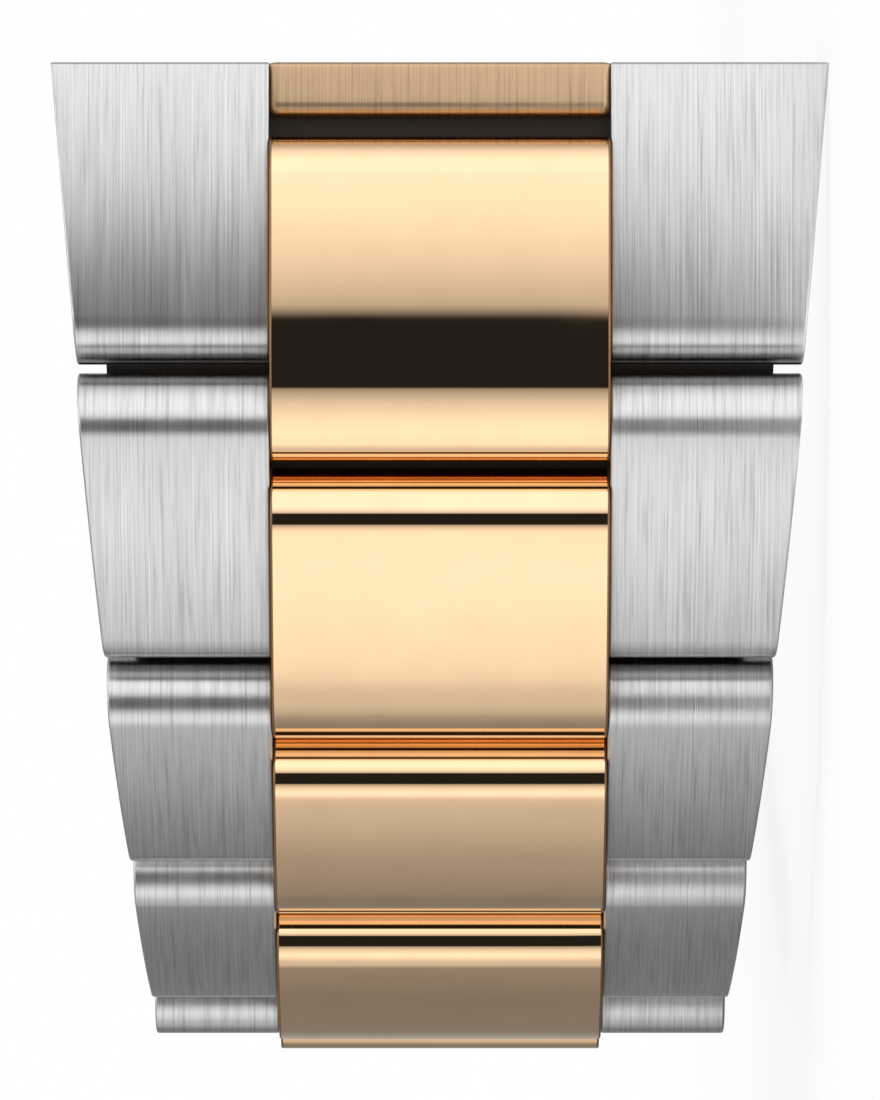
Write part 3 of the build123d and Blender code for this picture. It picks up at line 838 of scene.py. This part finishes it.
# %% The screw tree
def screw_tree():
    tree, given, result = new_tree("screw heads", [
        ("Radius", "Float"), ("Height", "Float"), ("Slot Width", "Float"), ("Slot Depth", "Float"),
        ("Seed", "Int"), ("Material", "Material")])
    head = add_node(tree, "GeometryNodeMeshCylinder",
                    {"Vertices": 40, "Radius": given["Radius"], "Depth": given["Height"]})
    length = maths(tree, "MULTIPLY", given["Radius"], 3)
    depth = maths(tree, "MULTIPLY", given["Slot Depth"], 2)
    size = add_node(tree, "ShaderNodeCombineXYZ", {0: length, 1: given["Slot Width"], 2: depth})
    block = add_node(tree, "GeometryNodeMeshCube", {"Size": size.outputs[0]})
    top = add_node(tree, "ShaderNodeCombineXYZ", {2: maths(tree, "DIVIDE", given["Height"], 2)})
    lifted = add_node(tree, "GeometryNodeTransform",
                      {"Geometry": block.outputs["Mesh"], "Translation": top.outputs[0]})
    slotted = add_node(tree, "GeometryNodeMeshBoolean",
                       {"Mesh 1": head.outputs["Mesh"], "Mesh 2": lifted.outputs[0]},
                       operation="DIFFERENCE")
    face = add_node(tree, "GeometryNodeInputNamedAttribute", {"Name": "face"},
                    data_type="FLOAT_VECTOR")
    aim = add_node(tree, "FunctionNodeAlignRotationToVector", {"Vector": face.outputs[0]}, axis="Z")
    chance = add_node(tree, "FunctionNodeRandomValue", {3: math.pi, "Seed": given["Seed"]},
                      data_type="FLOAT")
    angles = add_node(tree, "ShaderNodeCombineXYZ", {2: chance.outputs[1]})
    spin = add_node(tree, "FunctionNodeRotateRotation",
                    {0: aim.outputs[0], 1: angles.outputs[0]}, rotation_space="LOCAL")
    heads = add_node(tree, "GeometryNodeInstanceOnPoints",
                     {"Points": given["Geometry"], "Instance": slotted.outputs[0],
                      "Rotation": spin.outputs[0]})
    hand_out(tree, heads.outputs[0], given, result)
    return tree


SCREW = screw_tree()
print("screw tree nodes", len(SCREW.nodes))

# %% [markdown]
# Every row but the first gets two points, one per side face, each with the direction that its face
# looks in. The heads sit a little below the face, in the seats that were cut.

# %% Make the screw heads
HEAD_R = 0.66                      # mm
HEAD_HEIGHT = 0.30                 # mm
HEAD_SUNK = 0.05                   # mm below the side face
SLOT_WIDTH, SLOT_DEPTH = 0.22, 0.14   # mm


def screw_heads(side, n):
    face, slope = face_at_hinge(n)
    mesh = bpy.data.meshes.new(f"{side}_row{n}_heads")
    z = face - HEAD_SUNK - HEAD_HEIGHT / 2
    mesh.from_pydata([(0, 0, z), (0, 0, -z)], [], [])
    way = mesh.attributes.new("face", "FLOAT_VECTOR", "POINT")
    way.data[0].vector = Vector((-slope, 0, 1)).normalized()
    way.data[1].vector = Vector((-slope, 0, -1)).normalized()
    source = placed(mesh.name, mesh)
    tree = source.modifiers.new("screws", "NODES")
    tree.node_group = SCREW
    seed = n if side == "six" else n + ROWS
    set_inputs(tree, SCREW, {"Radius": HEAD_R, "Height": HEAD_HEIGHT, "Slot Width": SLOT_WIDTH,
                             "Slot Depth": SLOT_DEPTH, "Seed": seed, "Material": pin_steel})
    obj = bake(source, f"{side}_row{n}_screws", FRAMES[side, n])
    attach(obj, f"{side}_row{n}")
    return obj


screws = [screw_heads(side, n) for side in SIDES for n in range(2, ROWS + 1)]
print("screw pairs", len(screws), "faces", len(screws[0].data.polygons))

# %% [markdown]
# The clasp
#
# The clasp's plates are bent sheet with every edge broken. The CAD shapes are already right, so a
# copy of each is cleaned of doubled vertices, gets a narrow bevel, and takes its finish.

# %% Dress the clasp
SHARP = math.radians(28)           # edges sharper than this are broken


def merged_copy(node, name):
    work = bmesh.new()
    work.from_mesh(frame["nodes"][node].data)
    bmesh.ops.remove_doubles(work, verts=work.verts, dist=1e-7)
    bmesh.ops.dissolve_limit(work, angle_limit=math.radians(1.0), verts=work.verts, edges=work.edges)
    mesh = bpy.data.meshes.new(name)
    work.to_mesh(mesh)
    work.free()
    return placed(name, mesh)


def dressed(node, name, finish, slot_name, bevel):
    source = merged_copy(node, name + "_plain")
    source.data.materials.append(finish)
    source.data.polygons.foreach_set("use_smooth", [True] * len(source.data.polygons))
    source.data.set_sharp_from_angle(angle=SHARP)
    edge = source.modifiers.new("broken edges", "BEVEL")
    edge.width = bevel * MM
    edge.segments = 2
    edge.limit_method = "ANGLE"
    edge.angle_limit = SHARP
    edge.harden_normals = False
    obj = bake(source, name, Matrix.Identity(4))
    return mount(obj, node, slot_name)


clasp = [dressed("clasp_cover", "clasp_cover_brushed", steel_brushed, "clasp_steel", 0.10),
         dressed("clasp_middle_blade", "clasp_blade_middle", steel_polished, "blade_steel", 0.08),
         dressed("clasp_lower_blade", "clasp_blade_lower", steel_polished, "blade_steel", 0.08)]
print("clasp faces", [len(o.data.polygons) for o in clasp])

# %% [markdown]
# The brushing of the clasp follows the bend of the clasp: the map runs across it by the width, or on
# its sides by the height, and along it by the length of the arc about the line it is bent about.

# %% Map for the clasp
CLASP_AXIS = (57.18, -24.00)       # mm, the line that the whole clasp is bent about
CLASP_R = 70.0                     # mm


def map_clasp(obj):
    """Scratches follow the bend of the clasp, on its faces and on its sides."""
    brush = obj.data.uv_layers["brush"]
    for face in obj.data.polygons:
        sideways = abs(face.normal.z) > SIDEWAYS
        for k in face.loop_indices:
            x, y, z = obj.data.vertices[obj.data.loops[k].vertex_index].co / MM
            out, along = CLASP_AXIS[0] - x, y - CLASP_AXIS[1]
            across = math.hypot(out, along) if sideways else z
            brush.data[k].uv = (across, CLASP_R * math.atan2(along, out))


for piece in clasp:
    map_clasp(piece)
print("clasp maps", len(clasp))

# %% [markdown]
# What stays as the CAD has it
#
# Pins, hinge rods and push buttons are plain turned parts. The CAD shape is the real shape, so they
# only take a finish. The pins of the end rows are seen through a narrow gap, so they are painted
# near-black: painted shade.

# %% Finish the CAD pieces that stay
for name, node in frame["nodes"].items():
    if node.hide_render:
        continue
    node.data.materials.clear()
    # The end rows' pins get the near-black steel: painted shade for the gap they lie in.
    plain = painted_shade_steel if "_row1_" in name else pin_steel
    node.data.materials.append(steel_polished if name.startswith("push") else plain)
print("CAD pieces that stay", sum(not node.hide_render for node in frame["nodes"].values()))

# %% [markdown]
# The studio
#
# Polished metal shows nothing but its surroundings, so the light is a tent: a round wall about the
# bracelet, bright on one side, darker further round, with a dark gap where the camera looks through.
# A picture of a studio could light the scene too. A wall of numbers was chosen because each number
# sets one band on the metal. The gap is low: polished gold sees it whole, and brushed steel, which
# mixes light from a wide fan, sees it softened.

# %% The tent's brightness
# direction in degrees about the first hinge, from -Y towards -X, and brightness
TENT = [(-180, 0.49), (-120, 0.39), (-100, 0.54), (-75, 1.13), (-50, 1.49), (-14, 1.49), (-4, 1.30),
        (1.5, 0.97), (5.0, 0.71), (6.3, 0.58), (6.6, 0.02), (38.4, 0.02), (39.4, 0.43), (43, 0.65),
        (49, 0.95), (60, 1.27), (68, 1.38), (77, 1.23), (85, 0.99), (92, 0.82), (106, 0.76),
        (112, 0.65), (118, 0.46), (125, 0.35), (134, 0.26), (145, 0.26), (160, 0.39), (180, 0.49)]
GAP_SPAN = (6.6, 38.4)             # degrees, the dark gap round the tent
GAP_HALF = 12.0                    # degrees, how far the gap reaches up and down
GAP_SOFT = 4.0                     # degrees, half the width of its soft edge
GAP_SIDES = 0.75                   # brightness of the wall above and below the gap
centre = Vector(JOINTS["six_row1_hinge"]["pos_m"])
print("tent about", [round(v / MM, 1) for v in centre])


def angle_brightness(tree):
    """The tent's brightness at a point, by its direction from the first hinge."""
    place = add_node(tree, "ShaderNodeTexCoord").outputs["Object"]
    parts = add_node(tree, "ShaderNodeSeparateXYZ", {0: place}).outputs
    x = maths(tree, "SUBTRACT", centre.x, parts[0])
    y = maths(tree, "SUBTRACT", centre.y, parts[1])
    angle = maths(tree, "ARCTAN2", x, y)
    share = maths(tree, "ADD", maths(tree, "DIVIDE", angle, 2 * math.pi), 0.5)
    top = max(value for _, value in TENT)
    stops = [((degrees + 180) / 360, value / top) for degrees, value in TENT]
    wall = maths(tree, "MULTIPLY", ramp(tree, share, stops), top)
    rise = maths(tree, "ABSOLUTE", maths(tree, "SUBTRACT", parts[2], centre.z))
    squares = maths(tree, "ADD", maths(tree, "MULTIPLY", x, x), maths(tree, "MULTIPLY", y, y))
    flat = maths(tree, "SQRT", squares)
    low, high = (math.tan(math.radians(GAP_HALF + soft)) for soft in (-GAP_SOFT, GAP_SOFT))
    beside = add_node(tree, "ShaderNodeMapRange", {
        "Value": maths(tree, "DIVIDE", rise, flat), "From Min": low, "From Max": high},
        interpolation_type="SMOOTHSTEP")
    in_gap = maths(tree, "MULTIPLY", maths(tree, "GREATER_THAN", angle, math.radians(GAP_SPAN[0])),
                   maths(tree, "LESS_THAN", angle, math.radians(GAP_SPAN[1])))
    over_gap = maths(tree, "MULTIPLY", in_gap, beside.outputs[0])
    return maths(tree, "MAXIMUM", wall, maths(tree, "MULTIPLY", over_gap, GAP_SIDES))


# %% [markdown]
# The wall is a ring of quads. The camera doesn't see it and it throws no shadow, so it is there for
# the reflections and as soft light only.

# %% The tent
TENT_R = 0.60                      # m
TENT_HEIGHT = 0.45                 # m
TENT_STEPS = 180                   # quads round the ring


def bare_material(name):
    """A material without nodes but its output."""
    mat = bpy.data.materials.new(name)
    mat.use_nodes = True
    tree = mat.node_tree
    tree.nodes.clear()
    out = add_node(tree, "ShaderNodeOutputMaterial")
    return mat, tree, out.inputs["Surface"]


def glow(tree):
    made = add_node(tree, "ShaderNodeEmission", {"Strength": angle_brightness(tree)})
    return made.outputs[0]


def tent():
    mesh = bpy.data.meshes.new("tent")
    corners = []
    for k in range(TENT_STEPS):
        a = 2 * math.pi * k / TENT_STEPS
        x, y = centre.x - TENT_R * math.sin(a), centre.y - TENT_R * math.cos(a)
        corners += [(x, y, 0), (x, y, TENT_HEIGHT)]
    count = len(corners)
    faces = [(k, k + 1, (k + 3) % count, (k + 2) % count) for k in range(0, count, 2)]
    mesh.from_pydata(corners, [], faces)
    mat, tree, surface = bare_material("tent_cloth")
    plug(tree, glow(tree), surface)
    mesh.materials.append(mat)
    obj = placed("tent", mesh)
    obj.visible_camera = False
    obj.visible_shadow = False
    return obj


print("tent of", TENT_STEPS, "quads, radius", TENT_R, "m")

# %% [markdown]
# The floor is pale paper. To the camera most of it is plain white, as in the photograph, and near the
# bracelet a share of the paper stays, which is where the shadow shows. To reflections it goes on
# with the tent's brightness, so no edge between wall and floor shows in the metal.

# %% The floor
FLOOR_HALF = 6                     # m
SHADOW_NEAR, SHADOW_FAR = 0.08, 0.30   # m from the first hinge, where the paper's share fades
WHITE_NEAR = 0.85                  # share of plain white close to the bracelet


def mix(tree, share, first, second):
    return add_node(tree, "ShaderNodeMixShader", {0: share, 1: first, 2: second}).outputs[0]


def ray_kinds(tree):
    """1 for rays that see a thing straight from the camera, and 1 for rays in reflections."""
    light = add_node(tree, "ShaderNodeLightPath").outputs
    seen = maths(tree, "MAXIMUM", light["Is Camera Ray"], light["Is Transmission Ray"])
    return seen, light["Is Glossy Ray"]


def floor():
    mesh = bpy.data.meshes.new("floor")
    sides = ((-1, -1), (1, -1), (1, 1), (-1, 1))
    mesh.from_pydata([(FLOOR_HALF * x, FLOOR_HALF * y, 0) for x, y in sides], [], [(0, 1, 2, 3)])
    mat, tree, surface = bare_material("pale_floor")
    paper = add_node(tree, "ShaderNodeBsdfDiffuse", {"Color": (0.9, 0.9, 0.9, 1)}).outputs[0]
    white = add_node(tree, "ShaderNodeEmission").outputs[0]
    place = add_node(tree, "ShaderNodeTexCoord").outputs["Object"]
    away = add_node(tree, "ShaderNodeVectorMath", {0: place, 1: centre}, operation="DISTANCE")
    far = add_node(tree, "ShaderNodeMapRange", {
        "Value": away.outputs["Value"], "From Min": SHADOW_NEAR, "From Max": SHADOW_FAR,
        "To Min": WHITE_NEAR, "To Max": 1.0}, interpolation_type="SMOOTHSTEP")
    seen, glossy = ray_kinds(tree)
    direct = mix(tree, seen, paper, mix(tree, far.outputs[0], paper, white))
    plug(tree, mix(tree, glossy, direct, glow(tree)), surface)
    mesh.materials.append(mat)
    return placed("floor", mesh)


tent()
floor()
print("floor", 2 * FLOOR_HALF, "m wide")

# %% [markdown]
# The world is white to the camera. In reflections it is only half as bright, or the sides of the
# links would vanish when they are seen from above.

# %% The world
SKY_IN_METAL = 0.5                 # brightness in reflections, where the camera sees 1
world = bpy.data.worlds.new("studio")
scene.world = world
world.use_nodes = True
tree = world.node_tree
back = tree.nodes["Background"]
lift = maths(tree, "SUBTRACT", *ray_kinds(tree))
sky = maths(tree, "MULTIPLY_ADD", lift, (1 - SKY_IN_METAL) / 2, (1 + SKY_IN_METAL) / 2)
plug(tree, sky, back.inputs["Strength"])
back.inputs["Color"].default_value = (1, 1, 1, 1)
print("sky in metal", SKY_IN_METAL)

# %% [markdown]
# One large soft lamp overhead gives the shadow a direction. It is weak, because the tent is the
# light that shapes the metal.

# %% Lamp
lamp = bpy.data.lights.new("overhead", "AREA")
lamp.size = 0.5                    # m
lamp.energy = 1.0                  # W
lamp_object = placed("overhead", lamp)
lamp_object.location = (centre.x + 0.1, centre.y - 0.1, 0.55)
scene.view_settings.view_transform = "Standard"
print("lamp", lamp.energy, "W")

# %% [markdown]
# The camera
#
# The photograph looks straight at the first rows from about a third of a metre, with the bracelet
# upright in the picture. Here it lies on its side, so the camera is rolled by a quarter turn: up in
# the picture is +X.

# %% Camera
DISTANCE = 336.0                   # mm from the first hinge
SCALE = 38.6                       # picture points per mm at that distance
AXIS_BELOW = 3.44                  # mm, the picture's centre below the first hinge
PICTURE_HEIGHT = 1100
SENSOR = 36.0                      # mm
camera = bpy.data.cameras.new("camera")
camera.sensor_fit = "VERTICAL"
camera.sensor_height = SENSOR
camera.lens = SCALE * DISTANCE / PICTURE_HEIGHT * SENSOR
camera_object = placed("camera", camera)
middle = (cad_box[0][2] + cad_box[1][2]) / 2
spot = Vector((centre.x - AXIS_BELOW * MM, centre.y - DISTANCE * MM, middle))
look = Matrix(((0, 1, 0), (0, 0, -1), (-1, 0, 0))).to_4x4()
camera_object.matrix_world = Matrix.Translation(spot) @ look
scene.camera = camera_object
camera.clip_start = 0.01
print("lens", round(camera.lens, 1), "mm")
